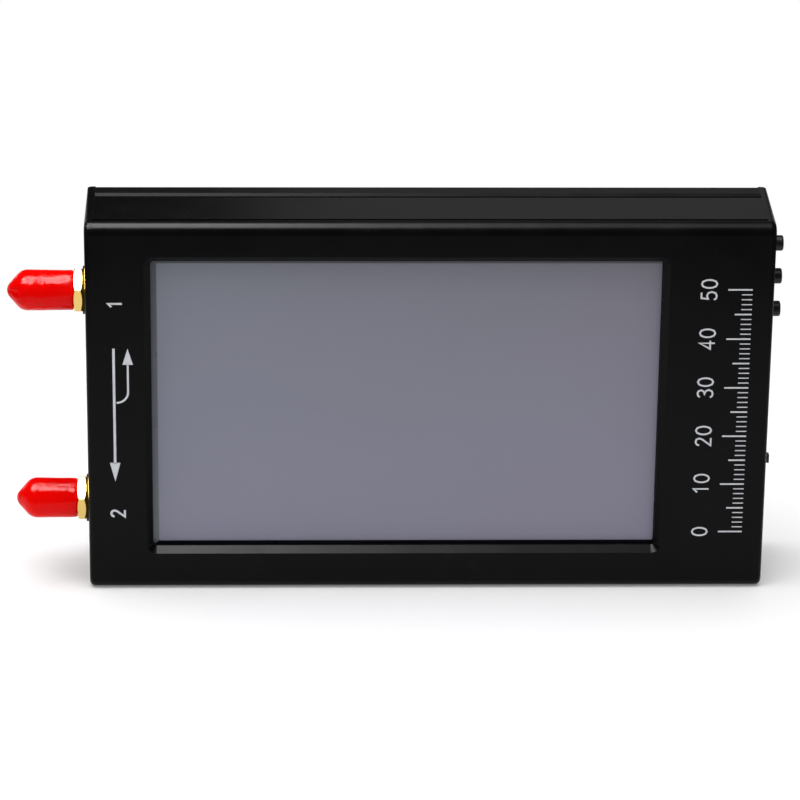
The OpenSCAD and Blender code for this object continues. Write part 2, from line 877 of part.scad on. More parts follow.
// Two foam strips carry the display on the board, above and below the flex cables
module lcd_foam_strips() {
    color("#2a2a2d")
        for (side = [-1, 1])
            translate([0, 0, side * (lcd_height / 2 - foam_inset_z - foam_width / 2)])
                at_window(lcd_width - 2 * foam_inset_x, foam_width, lcd_back_y, board_y);
}

// A flex cable of width w, centred at x: down from start_y, under the board and up behind it
module flex_cable(x, w, start_y, start_z) {
    t = flex_thickness;
    b = flex_bend;
    low = flex_low_z;
    turn_z = low + b;
    along_x(x - w / 2, x + w / 2) {
        translate([start_y - t / 2, turn_z])
            square([t, start_z - turn_z]);
        translate([flex_back_y - t / 2, turn_z])
            square([t, flex_connector_z - turn_z]);
        translate([start_y + b, low - t / 2])
            square([flex_back_y - start_y - 2 * b, t]);
        for (corner = [[start_y + b, -b - t], [flex_back_y - b, 0]])
            intersection() {
                translate([corner[0], turn_z])
                    difference() {
                        circle(r = b + t / 2);
                        circle(r = b - t / 2);
                    }
                translate([corner[0] + corner[1], low - t])
                    square([b + t, b + t]);
            }
    }
}

module lcd_flex_cable() {
    color("#c4832e")
        flex_cable(lcd_flex_x, lcd_flex_width, lcd_back_y - lcd_rim, lcd_bottom);
}

module touch_flex_cable() {
    color("#c4832e")
        flex_cable(touch_flex_x, touch_flex_width, touch_y + touch_thickness / 2,
                   lcd_bottom + touch_margin);
}

// ---- main board ----

module main_board() {
    notch_left = lcd_flex_x - lcd_flex_width / 2 - connector_margin;
    notch_right = touch_flex_x + touch_flex_width / 2 + connector_margin;
    color("#1d4a33")
        along_y(board_y, board_back_y)
            difference() {
                translate([board_left, board_bottom])
                    square([board_right - board_left, board_top - board_bottom]);
                translate([notch_left, board_bottom - cut])
                    square([notch_right - notch_left, flex_notch_top - board_bottom + cut]);
                for (p = post_places)
                    translate(p)
                        circle(d = board_screw_diameter + 4 * screw_play);
            }
}

module board_screws() {
    head_y = board_back_y + board_screw_head_height;
    recess = board_screw_head * 0.6;
    color("#b8b8b4")
        for (p = post_places)
            translate([p.x, 0, p.y])
                difference() {
                    union() {
                        rod_y(board_screw_diameter, board_back_y - board_screw_length, board_back_y);
                        rod_y(board_screw_head, board_back_y, head_y);
                    }
                    for (turn = [0, 90])
                        translate([0, head_y, 0])
                            rotate([0, turn, 0])
                                cube([recess, board_screw_head_height, recess / 4], center = true);
                }
}

// A part that stands on the back of the board, centred at x and z
module on_board(x, z, w, h, rise) {
    translate([x, 0, z])
        along_y(board_back_y, board_back_y + rise)
            square([w, h], center = true);
}

// A shield can is an open sheet box over its port's receiver, with holes in its back
module shield_can(z) {
    back = board_back_y + shield_rise;
    color("#c9cacc")
        difference() {
            on_board(shield_x, z, shield_width, shield_height, shield_rise);
            translate([shield_x, 0, z])
                along_y(board_back_y - cut, back - shield_sheet)
                    square([shield_width - 2 * shield_sheet, shield_height - 2 * shield_sheet],
                           center = true);
            for (i = [-2 : 2], j = [-1 : 1])
                translate([shield_x + i * shield_width / 6, 0, z + j * shield_height / 5])
                    rod_y(vent_diameter, back - shield_sheet - cut, back + cut);
        }
}

module receiver_chips() {
    color("#1a1a1c")
        for (z = shield_z, side = [-1, 1])
            on_board(shield_x + side * shield_width / 5, z, receiver_side, receiver_side,
                     chip_thickness);
}

module controller_chip() {
    color("#1a1a1c")
        on_board(controller_x, chip_row_z, controller_side, controller_side, chip_thickness);
}

module logic_chip() {
    color("#1a1a1c")
        on_board(logic_x, chip_row_z, logic_side, logic_side, chip_thickness);
}

module memory_chip() {
    color("#1a1a1c")
        on_board(memory_x, chip_row_z, memory_width, memory_height, chip_thickness);
}

module reference_oscillator() {
    color("#c9cacc")
        on_board(logic_x, oscillator_z, oscillator_width, oscillator_height, chip_thickness);
}

module power_inductors() {
    color("#4a4a4e")
        for (z = inductor_z)
            on_board(inductor_x, z, inductor_side, inductor_side, inductor_rise);
}

// A flat connector on the back of the board, open at the bottom for a flex cable
module flex_connector(x, w) {
    slot = flex_thickness / 2 + fit;
    bottom = flex_connector_z - connector_seat;
    color("#e6e2d6")
        difference() {
            on_board(x, bottom + connector_height / 2, w + 2 * connector_margin,
                     connector_height, connector_rise);
            block([x - w / 2 - fit, flex_back_y - slot, bottom - cut],
                  [x + w / 2 + fit, flex_back_y + slot, flex_connector_z]);
        }
}

module lcd_flex_connector() {
    flex_connector(lcd_flex_x, lcd_flex_width);
}

module touch_flex_connector() {
    flex_connector(touch_flex_x, touch_flex_width);
}

// ---- battery ----

module battery_pouch() {
    color("#b4b7bd")
        translate([battery_x, 0, mid_z])
            along_y(battery_front_y, battery_back_y)
                round_rect(battery_length, battery_height, battery_corner);
}

module battery_protection_strip() {
    half = battery_height / 2 - battery_corner;
    color("#c99a2e")
        block([battery_right, battery_front_y + battery_thickness / 8, mid_z - half],
              [strip_right, battery_back_y, mid_z + half]);
}

module battery_tape() {
    color("#e9e6da")
        for (side = [-1, 1])
            translate([battery_x + side * battery_length / 4, 0, mid_z])
                along_y(battery_back_y, back_inner_y)
                    square([battery_tape_width, battery_height * 0.8], center = true);
}

// The header stands on the board and the plug drops into it from the back
module battery_header() {
    color("#efece2")
        difference() {
            on_board(header_x, mid_z, header_width, header_length, header_rise);
            translate([header_x, 0, mid_z])
                along_y(board_back_y + header_wall, board_back_y + header_rise + cut)
                    square([plug_width + 2 * fit, plug_length + 2 * fit], center = true);
        }
}

module battery_plug() {
    color("#efece2")
        difference() {
            translate([header_x, 0, mid_z])
                along_y(board_back_y + header_wall, plug_back_y)
                    square([plug_width, plug_length], center = true);
            for (side = [-1, 1])
                translate([header_x, 0, mid_z + side * lead_pitch / 2])
                    rod_y(lead_diameter + 2 * fit, plug_bore_y, plug_back_y + cut);
        }
}

// A battery lead rises out of the plug and bends over to the protection strip
module battery_lead(z) {
    translate([header_x, 0, z])
        rod_y(lead_diameter, plug_bore_y, lead_bend_y);
    translate([header_x - lead_bend, lead_bend_y, z])
        rotate_extrude(angle = 90)
            translate([lead_bend, 0])
                circle(d = lead_diameter);
    translate([0, lead_back_y, z])
        rod_x(lead_diameter, strip_right, header_x - lead_bend);
}

module battery_lead_positive() {
    color("#b5201c")
        battery_lead(mid_z + lead_pitch / 2);
}

module battery_lead_negative() {
    color("#17171a")
        battery_lead(mid_z - lead_pitch / 2);
}

// ---- coaxial ports ----

// The frame of one port: x points out of the left end plate from its outer face
module at_port(i) {
    translate([-end_x, port_y, port_z[i]])
        mirror([1, 0, 0])
            children();
}

// The threaded barrel: ring grooves at the thread's pitch between two plain ends
module jack_barrel() {
    r = port_thread_diameter / 2;
    root = r - port_thread_depth;
    first = port_thread_pitch / 2;
    turns = floor((port_reach - 2 * first) / port_thread_pitch);
    crests = [
        for (i = [0 : turns - 1], half = [0, 1])
            [half == 0 ? r : root, first + (i + half / 2) * port_thread_pitch]
    ];
    turned()
        polygon(concat(
            [[0, -end_plate_thickness], [r, -end_plate_thickness]],
            crests,
            [[r, first + turns * port_thread_pitch], [root, port_reach], [0, port_reach]]
        ));
}

module port_jack(i) {
    board_front = board_y - port_y;
    board_back = board_back_y - port_y;
    leg_z = port_flange / 2 - port_leg / 2;
    color("#c9a24a")
        at_port(i)
            difference() {
                union() {
                    jack_barrel();
                    translate([flange_inner, -port_flange / 2, -port_flange / 2])
                        cube([port_flange_thickness, port_flange, port_flange]);
                    for (side = [-1, 1], y = [board_front - port_leg, board_back])
                        translate([flange_inner - port_leg_length, y,
                                   side * leg_z - port_leg / 2])
                            cube([port_leg_length + fit, port_leg, port_leg]);
                }
                rod_x(port_insulator_diameter, flange_inner - cut, port_reach + cut);
            }
}

module port_insulator(i) {
    color("#f1efe9")
        at_port(i)
            difference() {
                rod_x(port_insulator_diameter - 2 * fit, flange_inner, port_reach - 0.2);
                rod_x(port_contact_diameter + 2 * fit, flange_inner - cut, port_reach + cut);
            }
}

module port_contact(i) {
    socket_depth = port_reach / 2;
    color("#d8b04a")
        at_port(i)
            difference() {
                union() {
                    rod_x(port_contact_diameter, flange_inner, port_reach - 0.3);
                    rod_x(port_pin_diameter, flange_inner - 0.9 * port_leg_length,
                          flange_inner + fit);
                }
                rod_x(port_socket_diameter, port_reach - socket_depth, port_reach + cut);
            }
}

module lock_washer(i) {
    teeth = 12;
    tooth_depth = 0.5;
    tooth_gap = 0.7;
    color("#6b5410")
        at_port(i)
            difference() {
                rod_x(washer_diameter, 0, washer_thickness);
                rod_x(port_hole, -cut, washer_thickness + cut);
                for (t = [0 : teeth - 1])
                    rotate([t * 360 / teeth, 0, 0])
                        translate([-cut, 0, -tooth_gap / 2])
                            cube([washer_thickness + 2 * cut, port_hole / 2 + tooth_depth,
                                  tooth_gap]);
            }
}

// A hexagon nut with chamfered corners, one corner turned a little up from the front
module hex_nut(i) {
    corner = nut_across_flats / 2 / cos(30);
    face = corner - 2 * nut_chamfer;
    turn = 10;
    color("#d8b24c")
        at_port(i)
            difference() {
                intersection() {
                    translate([washer_thickness, 0, 0])
                        rotate([turn, 0, 0])
                            rotate([0, 90, 0])
                                cylinder(r = corner, h = nut_thickness, $fn = 6);
                    turned()
                        polygon([
                            [0, washer_thickness - fit], [face, washer_thickness],
                            [corner + fit, washer_thickness + nut_chamfer],
                            [corner + fit, nut_outer - nut_chamfer],
                            [face, nut_outer], [0, nut_outer + fit]
                        ]);
                }
                rod_x(port_hole, 0, nut_outer + cut);
            }
}

// A push-on cap: a tube that narrows to its rim, with a shoulder, a conical nose and a round tip
module dust_cap(i, length) {
    turn = cap_nose_angle;
    nose = cap_tip + ((cap_radius - cap_shoulder) * cos(turn) + cap_shoulder - cap_tip) / sin(turn);
    bore = cap_bore / 2;
    bore_flat = cap_tip * cos(turn);
    bore_end = length - cap_tip * (1 - sin(turn)) - cap_wall / sin(turn);
    rim = cap_wall / 2;
    color("#e8190f")
        at_port(i)
            translate([cap_start, 0, 0])
                turned()
                    polygon(concat(
                        [[bore, 0]],
                        arc(rim, cap_radius - cap_draft - rim, rim, -90, 0, 4),
                        arc(cap_shoulder, cap_radius - cap_shoulder, length - nose, 0, turn),
                        arc(cap_tip, 0, length - cap_tip, turn, 90),
                        [[0, bore_end], [bore_flat, bore_end],
                         [bore, bore_end - (bore - bore_flat) / tan(turn)]]
                    ));
}

// ---- buttons, switch and socket ----

module push_button(i) {
    tip = end_x + button_reach;
    flat = button_diameter / 2 - button_edge;
    color("#232427")
        translate([0, tact_y, button_z[i]]) {
            rod_x(button_diameter, tact_front_x - button_depth, tip - button_edge);
            turned()
                polygon(concat(
                    [[0, tip - button_edge - fit]],
                    arc(button_edge, flat, tip - button_edge, 0, 90, 6),
                    [[0, tip]]
                ));
            rod_x(button_diameter + 2 * button_collar,
                  tact_front_x + button_travel + button_stop, shell_x - button_stop);
        }
}

module button_switch(i) {
    socket_floor = tact_front_x - button_depth - button_travel - button_stop;
    z = button_z[i];
    color("#2c2c30")
        difference() {
            block([tact_front_x - tact_depth, board_back_y, z - tact_width / 2],
                  [tact_front_x, board_back_y + tact_rise, z + tact_width / 2]);
            translate([0, tact_y, z])
                rod_x(button_hole, socket_floor, tact_front_x + cut);
        }
}

// The knob's foot runs in a closed pocket of the switch body
module slide_switch_body() {
    gap = knob_clearance;
    foot_half = (foot_length + knob_travel) / 2 + gap;
    slot_half = (knob_length + knob_travel) / 2 + gap;
    color("#a9abb0")
        translate([0, slide_y, slide_z])
            difference() {
                block([slide_front_x - slide_depth, -slide_rise / 2, -slide_length / 2],
                      [slide_front_x, slide_rise / 2, slide_length / 2]);
                block([slide_pocket[0], -foot_width / 2 - gap, -foot_half],
                      [slide_pocket[1], foot_width / 2 + gap, foot_half]);
                block([slide_pocket[1] - cut, -knob_width / 2 - gap, -slot_half],
                      [slide_front_x + cut, knob_width / 2 + gap, slot_half]);
            }
}

module slide_switch_knob() {
    foot_front = slide_pocket[1] - knob_clearance;
    color("#232427")
        translate([0, slide_y, knob_z]) {
            block([slide_pocket[0] + knob_clearance, -foot_width / 2, -foot_length / 2],
                  [foot_front, foot_width / 2, foot_length / 2]);
            block([foot_front - fit, -knob_width / 2, -knob_length / 2],
                  [end_x + knob_reach, knob_width / 2, knob_length / 2]);
        }
}

// The oblong outline of the charging socket, drawn in Y and Z and grown by grow
module socket_outline(grow = 0) {
    d = socket_depth + 2 * grow;
    straight = socket_width - socket_depth;
    square([d, straight], center = true);
    for (side = [-1, 1])
        translate([0, side * straight / 2])
            circle(d = d);
}

module charging_socket_shell() {
    color("#b9bbbf")
        translate([0, socket_y, socket_z])
            difference() {
                along_x(socket_rear_x, socket_front_x)
                    socket_outline();
                along_x(socket_rear_x - cut, socket_front_x + cut)
                    socket_outline(-socket_sheet);
            }
}

// The socket's plastic base and the flat tongue that carries its contacts
module charging_socket_tongue() {
    base = socket_length / 5;
    half = (socket_width - socket_depth / 1.4) / 2;
    color("#1b1b1e")
        translate([0, socket_y, socket_z]) {
            along_x(socket_rear_x, socket_rear_x + base)
                socket_outline(-socket_sheet - fit);
            block([socket_rear_x + base - fit, -socket_tongue / 2, -half],
                  [socket_front_x - socket_length / 7, socket_tongue / 2, half]);
        }
}

module charge_led() {
    color("#e9f2e2")
        block([board_right - led_side, board_back_y, light_z - led_side / 2],
              [board_right, board_back_y + led_rise, light_z + led_side / 2]);
}

// A clear plug in the right end plate that carries the charge light out
module charge_light_window() {
    color("#dfe6e8")
        translate([0, light_y, light_z])
            rod_x(light_diameter, board_right + 0.2, end_x - 0.1);
}

front_shell();
rear_cover();
left_end_plate();
right_end_plate();
left_end_screws();
right_end_screws();
window_gasket();
touch_panel();
lcd_glass();
lcd_backlight();
lcd_frame();
lcd_foam_strips();
lcd_flex_cable();
touch_flex_cable();
main_board();
board_screws();
shield_can(shield_z[0]);  // shield_can_1
shield_can(shield_z[1]);  // shield_can_2
receiver_chips();
controller_chip();
logic_chip();
memory_chip();
reference_oscillator();
power_inductors();
lcd_flex_connector();
touch_flex_connector();
battery_header();
battery_plug();
battery_lead_positive();
battery_lead_negative();
battery_pouch();
battery_protection_strip();
battery_tape();
port_jack(0);  // port_jack_1
port_jack(1);  // port_jack_2
port_insulator(0);  // port_insulator_1
port_insulator(1);  // port_insulator_2
port_contact(0);  // port_contact_1
port_contact(1);  // port_contact_2
lock_washer(0);  // lock_washer_1
lock_washer(1);  // lock_washer_2
hex_nut(0);  // hex_nut_1
hex_nut(1);  // hex_nut_2
dust_cap(0, cap_1_length);  // dust_cap_1
dust_cap(1, cap_2_length);  // dust_cap_2
push_button(0);  // push_button_1
push_button(1);  // push_button_2
push_button(2);  // push_button_3
button_switch(0);  // button_switch_1
button_switch(1);  // button_switch_2
button_switch(2);  // button_switch_3
slide_switch_body();
slide_switch_knob();
charging_socket_shell();
charging_socket_tongue();
charge_led();
charge_light_window();
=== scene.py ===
"""The antenna analyzer dressed for its portrait.

The frame's solids get their finishes. The scene adds the display, the printing, the charging
socket's contacts, the floor, the light and the camera. Lengths are in metres.
"""

import math

import bmesh
import bpy
from mathutils import Matrix, Vector

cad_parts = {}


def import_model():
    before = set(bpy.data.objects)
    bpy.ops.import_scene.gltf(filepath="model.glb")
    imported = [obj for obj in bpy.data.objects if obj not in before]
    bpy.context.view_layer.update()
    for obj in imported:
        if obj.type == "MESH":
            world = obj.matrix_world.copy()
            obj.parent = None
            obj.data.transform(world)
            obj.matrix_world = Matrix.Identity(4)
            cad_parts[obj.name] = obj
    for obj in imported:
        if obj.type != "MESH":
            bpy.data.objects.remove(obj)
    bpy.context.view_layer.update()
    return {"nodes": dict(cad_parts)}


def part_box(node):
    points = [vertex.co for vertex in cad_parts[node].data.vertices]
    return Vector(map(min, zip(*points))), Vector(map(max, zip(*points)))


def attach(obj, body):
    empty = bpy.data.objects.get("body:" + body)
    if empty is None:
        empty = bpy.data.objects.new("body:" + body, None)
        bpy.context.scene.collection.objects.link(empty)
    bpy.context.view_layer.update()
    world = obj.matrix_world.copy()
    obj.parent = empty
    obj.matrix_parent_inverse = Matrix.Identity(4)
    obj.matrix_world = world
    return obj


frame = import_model()
nodes = frame["nodes"]

MM = 0.001


# ---- sizes ----

# Camera: a long lens, a little above the case and left of its middle
CAMERA_PLACE = Vector((-30.59, -760.18, 351.93)) * MM
CAMERA_PITCH = math.radians(22.623)
CAMERA_YAW = math.radians(-1.918)
CAMERA_ROLL = math.radians(0.696)
CAMERA_LENS = 192.22
CAMERA_SENSOR = 36
CAMERA_CLIP = (0.01, 20)

# The lit area of the display, seen through the window, and the films on the touch panel
VIEW_LEFT = -51.6 * MM
VIEW_RIGHT = 43.83 * MM
VIEW_BOTTOM = 9.15 * MM
VIEW_TOP = 66.38 * MM
VIEW_CORNER = 0.3 * MM
FILM = 0.04 * MM
BORDER_FILM = 0.7 * FILM

# Printing on the face
INK = 0.02 * MM
LINE = 0.42 * MM
MITRE_LIMIT = 0.5

# Numerals at the ports
PORT_TEXT = 2.6 * MM
PORT_TEXT_X = -59.35 * MM

# Arrows between the ports, as heights. A line ends inside its head, and a head goes from its base
# to its tip. The branch bends away below its line.
LONG_ARROW_X = -59.75 * MM
LONG_ARROW_LINE = (50.1 * MM, 26.4 * MM)
LONG_ARROW_HEAD = (26.6 * MM, 22.7 * MM)
BRANCH_X = -57.1 * MM
BRANCH_LINE = (41.2 * MM, 46.9 * MM)
BRANCH_HEAD = (46.8 * MM, 50.1 * MM)
BRANCH_BEND = 2.2 * MM
BEND_STEPS = 8
HEAD_WIDTH = 2.0 * MM

# Rule at the right of the window: its ticks end at RULE_X, one for each step
RULE_X = 60.8 * MM
RULE_START = 12.0 * MM
RULE_END = 62.0 * MM
RULE_STEPS = 50
RULE_NUMBERED = 10
RULE_TEXT = 2.9 * MM
RULE_TEXT_X = 52.6 * MM
# Every so many steps, a tick of this length and width
TICKS = ((10, 4.6 * MM, 0.3 * MM), (5, 3.2 * MM, 0.3 * MM), (1, 2.0 * MM, 0.2 * MM))

# Contacts on the charging socket's tongue
TONGUE_THICKNESS = 0.7 * MM
CONTACTS = 12
CONTACT_PITCH = 0.5 * MM
CONTACT_WIDTH = 0.27 * MM
CONTACT_LENGTH = 3.2 * MM
CONTACT_THICKNESS = 0.03 * MM
CONTACT_SETBACK = 0.35 * MM

# Points of the dust caps that are closer than this become one
CAP_WELD = 0.0001 * MM

# Floor: a disc whose glow grows from FLOOR_PLAIN out to FLOOR_WHITE
FLOOR_REACH = 0.2
FLOOR_RINGS = (0.08, 0.14, FLOOR_REACH)
FLOOR_SIDES = 64
FLOOR_COLOUR = (0.88, 0.88, 0.885, 1)
FLOOR_PLAIN = 0.08
FLOOR_WHITE = 0.96 * FLOOR_REACH
FLOOR_GLOW = (0.12, 1.0)

# World: the even light, and in reflections a dark ceiling and dark depths with a bright band
# between them, each with the heights of a direction over which it fades
WHITE = (1, 1, 1, 1)
AMBIENT = 0.62
CEILING = 0.01
CEILING_FADE = (-0.12, 0.0)
CEILING_LEAN = -0.12
DEPTHS = 0.02
DEPTHS_FADE = (-0.24, -0.14)


# ---- helpers ----

def srgb(red, green, blue):
    """A colour written as it looks on the screen, 0 to 255, as linear values."""
    def linear(c):
        c = c / 255
        return c / 12.92 if c <= 0.04045 else ((c + 0.055) / 1.055) ** 2.4
    return (linear(red), linear(green), linear(blue), 1.0)


def scaled(colour, factor):
    """A colour made lighter or darker."""
    return tuple(min(c * factor, 1.0) for c in colour[:3]) + (1.0,)


def piece(name, bm, material):
    """A new mesh object that rides on the case."""
    bmesh.ops.recalc_face_normals(bm, faces=bm.faces)
    mesh = bpy.data.meshes.new(name)
    bm.to_mesh(mesh)
    bm.free()
    mesh.materials.append(material)
    obj = bpy.data.objects.new(name, mesh)
    bpy.context.scene.collection.objects.link(obj)
    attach(obj, "case")


def plate(bm, outline, y_back, y_front):
    """A plate with a given outline in x and z, between two depths."""
    back = [bm.verts.new((x, y_back, z)) for x, z in outline]
    front = [bm.verts.new((x, y_front, z)) for x, z in outline]
    bm.faces.new(back)
    bm.faces.new(front)
    for i in range(len(outline)):
        j = (i + 1) % len(outline)
        bm.faces.new((back[i], back[j], front[j], front[i]))


def rounded(left, right, bottom, top, radius, steps=6):
    """The outline of a rectangle with round corners."""
    points = []
    corners = [
        (right - radius, top - radius, 0),
        (left + radius, top - radius, 90),
        (left + radius, bottom + radius, 180),
        (right - radius, bottom + radius, 270),
    ]
    for cx, cz, start in corners:
        for i in range(steps + 1):
            a = math.radians(start + 90 * i / steps)
            points.append((cx + radius * math.cos(a), cz + radius * math.sin(a)))
    return points


# ---- materials ----

# The colour of a painted highlight on sharp edges. It fades out as the softened normal meets
# the sharp one.
EDGE_HIGHLIGHT = srgb(120, 120, 122)
EDGE_HIGHLIGHT_FADE = (0.8, 0.99)

# How dark the painted shade in a hollow gets. It fades out as the share that is open grows.
HOLLOW_SHADE = 0.04
HOLLOW_SHADE_FADE = (0.35, 0.85)


def add(tree, kind, **inputs):
    """A shader node with some of its inputs set, by name."""
    node = tree.nodes.new(kind)
    for key, value in inputs.items():
        node.inputs[key.replace("_", " ")].default_value = value
    return node


def combined(tree, operation, first, second):
    """A math operation on the values of two sockets."""
    node = tree.nodes.new("ShaderNodeMath")
    node.operation = operation
    tree.links.new(first, node.inputs[0])
    tree.links.new(second, node.inputs[1])
    return node.outputs[0]


def noise(tree, source, scale, detail=3.0):
    """An even noise over the places that a socket gives."""
    node = add(tree, "ShaderNodeTexNoise", Scale=scale, Detail=detail, Roughness=0.55)
    tree.links.new(source, node.inputs["Vector"])
    return node.outputs["Fac"]


def spread(tree, source, low, high, from_low=0.3, from_high=0.7, smooth=False):
    """Maps a value to the range between low and high. The defaults fit a noise."""
    node = add(tree, "ShaderNodeMapRange", From_Min=from_low, From_Max=from_high,
               To_Min=low, To_Max=high)
    if smooth:
        node.interpolation_type = "SMOOTHSTEP"
    tree.links.new(source, node.inputs["Value"])
    return node.outputs["Result"]


def mixed(tree, factor, first, second):
    """A colour between two colours, by a factor."""
    node = tree.nodes.new("ShaderNodeMix")
    node.data_type = "RGBA"
    tree.links.new(factor, node.inputs["Factor"])
    for socket, value in ((node.inputs[6], first), (node.inputs[7], second)):
        if isinstance(value, bpy.types.NodeSocket):
            tree.links.new(value, socket)
        else:
            socket.default_value = value
    return node.outputs[2]


def blended(tree, factor, first, second):
    """A shader between two shaders, by a factor."""
    node = tree.nodes.new("ShaderNodeMixShader")
    for socket, source in zip(node.inputs, (factor, first.outputs[0], second.outputs[0])):
        tree.links.new(source, socket)
    return node.outputs[0]


def graded(tree, place, bottom_left, bottom_right, top_left, top_right):
    """A colour between the colours at the four corners of the display: a painted gradient of
    light and shade.
    """
    split = tree.nodes.new("ShaderNodeSeparateXYZ")
    tree.links.new(place, split.inputs[0])
    height = spread(tree, split.outputs["Z"], 0, 1, VIEW_BOTTOM, VIEW_TOP)
    side = spread(tree, split.outputs["X"], 0, 1, VIEW_LEFT, VIEW_RIGHT)
    bottom = mixed(tree, side, bottom_left, bottom_right)
    top = mixed(tree, side, top_left, top_right)
    return mixed(tree, height, bottom, top)


def finish(name, colour, roughness, metallic=0.0, specular=0.5, tint=0.12, patch=120.0,
           grain=4000.0, bump=0.02, height=0.05, rough_range=0.06, edge=0.1, edge_highlight=0.0,
           subsurface=0.0, transmission=0.0, hollow_shade=0.0):
    """A finish with patchy colour, uneven roughness, a fine grain, softened edges and a painted
    highlight on them.

    Four colours are the ones at the corners of the display, and paint its light and shade.
    Height, edge and hollow_shade are in millimetres, and hollows narrower than hollow_shade get
    painted shade.
    """
    material = bpy.data.materials.new(name)
    material.use_nodes = True
    tree = material.node_tree
    shader = tree.nodes["Principled BSDF"]
    place = tree.nodes.new("ShaderNodeTexCoord").outputs["Object"]
    shader.inputs["Metallic"].default_value = metallic
    shader.inputs["Specular IOR Level"].default_value = specular
    shader.inputs["Subsurface Weight"].default_value = subsurface
    shader.inputs["Transmission Weight"].default_value = transmission

    patches = noise(tree, place, patch)
    if isinstance(colour, list):
        base = graded(tree, place, *colour)
    else:
        base = mixed(tree, spread(tree, patches, 0, 1), scaled(colour, 1 - tint),
                     scaled(colour, 1 + tint))
    fine = noise(tree, place, grain, 2.0)

    softened = tree.nodes.new("ShaderNodeBevel")
    softened.samples = 6
    softened.inputs["Radius"].default_value = edge * MM
    # Sharp edges get a lighter colour: a painted highlight.
    if edge_highlight > 0:
        sharp = tree.nodes.new("ShaderNodeNewGeometry").outputs["Normal"]
        meeting = tree.nodes.new("ShaderNodeVectorMath")
        meeting.operation = "DOT_PRODUCT"
        tree.links.new(softened.outputs["Normal"], meeting.inputs[0])
        tree.links.new(sharp, meeting.inputs[1])
        highlighted = spread(tree, meeting.outputs["Value"], edge_highlight, 0.0, *EDGE_HIGHLIGHT_FADE)
        base = mixed(tree, highlighted, base, EDGE_HIGHLIGHT)
    # Hollows get a darker colour: painted shade.
    if hollow_shade > 0:
        open_share = add(tree, "ShaderNodeAmbientOcclusion", Distance=hollow_shade * MM)
        open_share.samples = 8
        open_share.only_local = True
        base = mixed(tree, spread(tree, open_share.outputs["AO"], 0, 1, *HOLLOW_SHADE_FADE),
                     scaled(colour, HOLLOW_SHADE), base)
    tree.links.new(base, shader.inputs["Base Color"])
    tree.links.new(spread(tree, patches, roughness - rough_range, roughness + rough_range),
                   shader.inputs["Roughness"])

    relief = add(tree, "ShaderNodeBump", Strength=bump, Distance=height * MM)
    tree.links.new(fine, relief.inputs["Height"])
    tree.links.new(softened.outputs["Normal"], relief.inputs["Normal"])
    tree.links.new(relief.outputs["Normal"], shader.inputs["Normal"])
    return material


ANODIZED = {"bump": 0.06, "grain": 6000.0, "edge": 0.045, "edge_highlight": 0.01, "tint": 0.2,
            "rough_range": 0.03}

FINISHES = {
    "black_anodized": finish("black_anodized_finish", srgb(8, 8, 9), 0.25, specular=0.072,
                             **ANODIZED),
    # The rear cover's copy of the black anodizing: a lighter colour, which is painted light, and
    # less gloss.
    "black_anodized_rear": finish("lit_rear_anodized_finish", srgb(18, 18, 19), 0.25,
                                  specular=0.027, **ANODIZED),
    "black_screw_steel": finish("black_screw_finish", srgb(60, 60, 64), 0.32, metallic=1.0,
                                edge=0.06, hollow_shade=1.5),
    "black_foam": finish("black_foam_finish", srgb(17, 17, 19), 0.9, specular=0.1, bump=0.3,
                         grain=2500.0),
    "touch_glass": finish("touch_panel_finish", srgb(96, 98, 104), 0.3, specular=0.3),
    "lcd_glass": finish("lcd_glass_finish", srgb(120, 119, 138), 0.15),
    "white_plastic": finish("white_plastic_finish", srgb(232, 232, 234), 0.5),
    "bright_steel": finish("bright_steel_finish", srgb(196, 197, 200), 0.26, metallic=1.0,
                           edge=0.05),
    "amber_film": finish("amber_film_finish", srgb(190, 128, 46), 0.3),
    "board_green": finish("board_green_finish", srgb(28, 74, 52), 0.35, grain=1500.0),
    "chip_black": finish("chip_black_finish", srgb(30, 30, 33), 0.55, bump=0.08),
    "ferrite": finish("ferrite_finish", srgb(74, 74, 78), 0.6),
    "ivory_plastic": finish("ivory_plastic_finish", srgb(238, 234, 222), 0.45),
    "lead_red": finish("lead_red_finish", srgb(176, 28, 24), 0.4),
    "lead_black": finish("lead_black_finish", srgb(26, 26, 28), 0.4),
    "pouch_foil": finish("pouch_foil_finish", srgb(178, 181, 188), 0.34, metallic=0.8,
                         bump=0.15, grain=900.0),
    "paper_tape": finish("paper_tape_finish", srgb(232, 228, 214), 0.7),
    "gold_brass": finish("gold_brass_finish", srgb(222, 190, 112), 0.24, metallic=1.0,
                         tint=0.06, bump=0.04, grain=3000.0, edge=0.08),
    "dark_brass": finish("dark_brass_finish", srgb(54, 40, 12), 0.5, metallic=1.0,
                         bump=0.06, edge=0.05),
    "white_insulator": finish("white_insulator_finish", srgb(236, 234, 228), 0.4),
    "red_vinyl": finish("red_vinyl_finish", srgb(222, 3, 1), 0.1, specular=0.09, tint=0.05,
                        patch=200.0, bump=0.9, height=0.3, grain=420.0),
    "button_black": finish("button_black_finish", srgb(26, 26, 28), 0.34, specular=0.25,
                           edge=0.08),
    "clear_plastic": finish("clear_plastic_finish", srgb(236, 240, 242), 0.12,
                            transmission=0.9),
    "led_lens": finish("led_lens_finish", srgb(233, 242, 226), 0.25, subsurface=0.3),
}


def dress_frame():
    """Gives each solid from the frame the finish of its material slot."""
    for obj in nodes.values():
        for slot in obj.material_slots:
            slot.material = FINISHES[slot.material.name.split(".")[0]]
    # The rear cover gets the lighter copy, with its painted light.
    for slot in nodes["rear_cover"].material_slots:
        slot.material = FINISHES["black_anodized_rear"]
    for i in (1, 2):
        weld = nodes[f"dust_cap_{i}"].modifiers.new("weld", "WELD")
        weld.merge_threshold = CAP_WELD


# ---- display ----

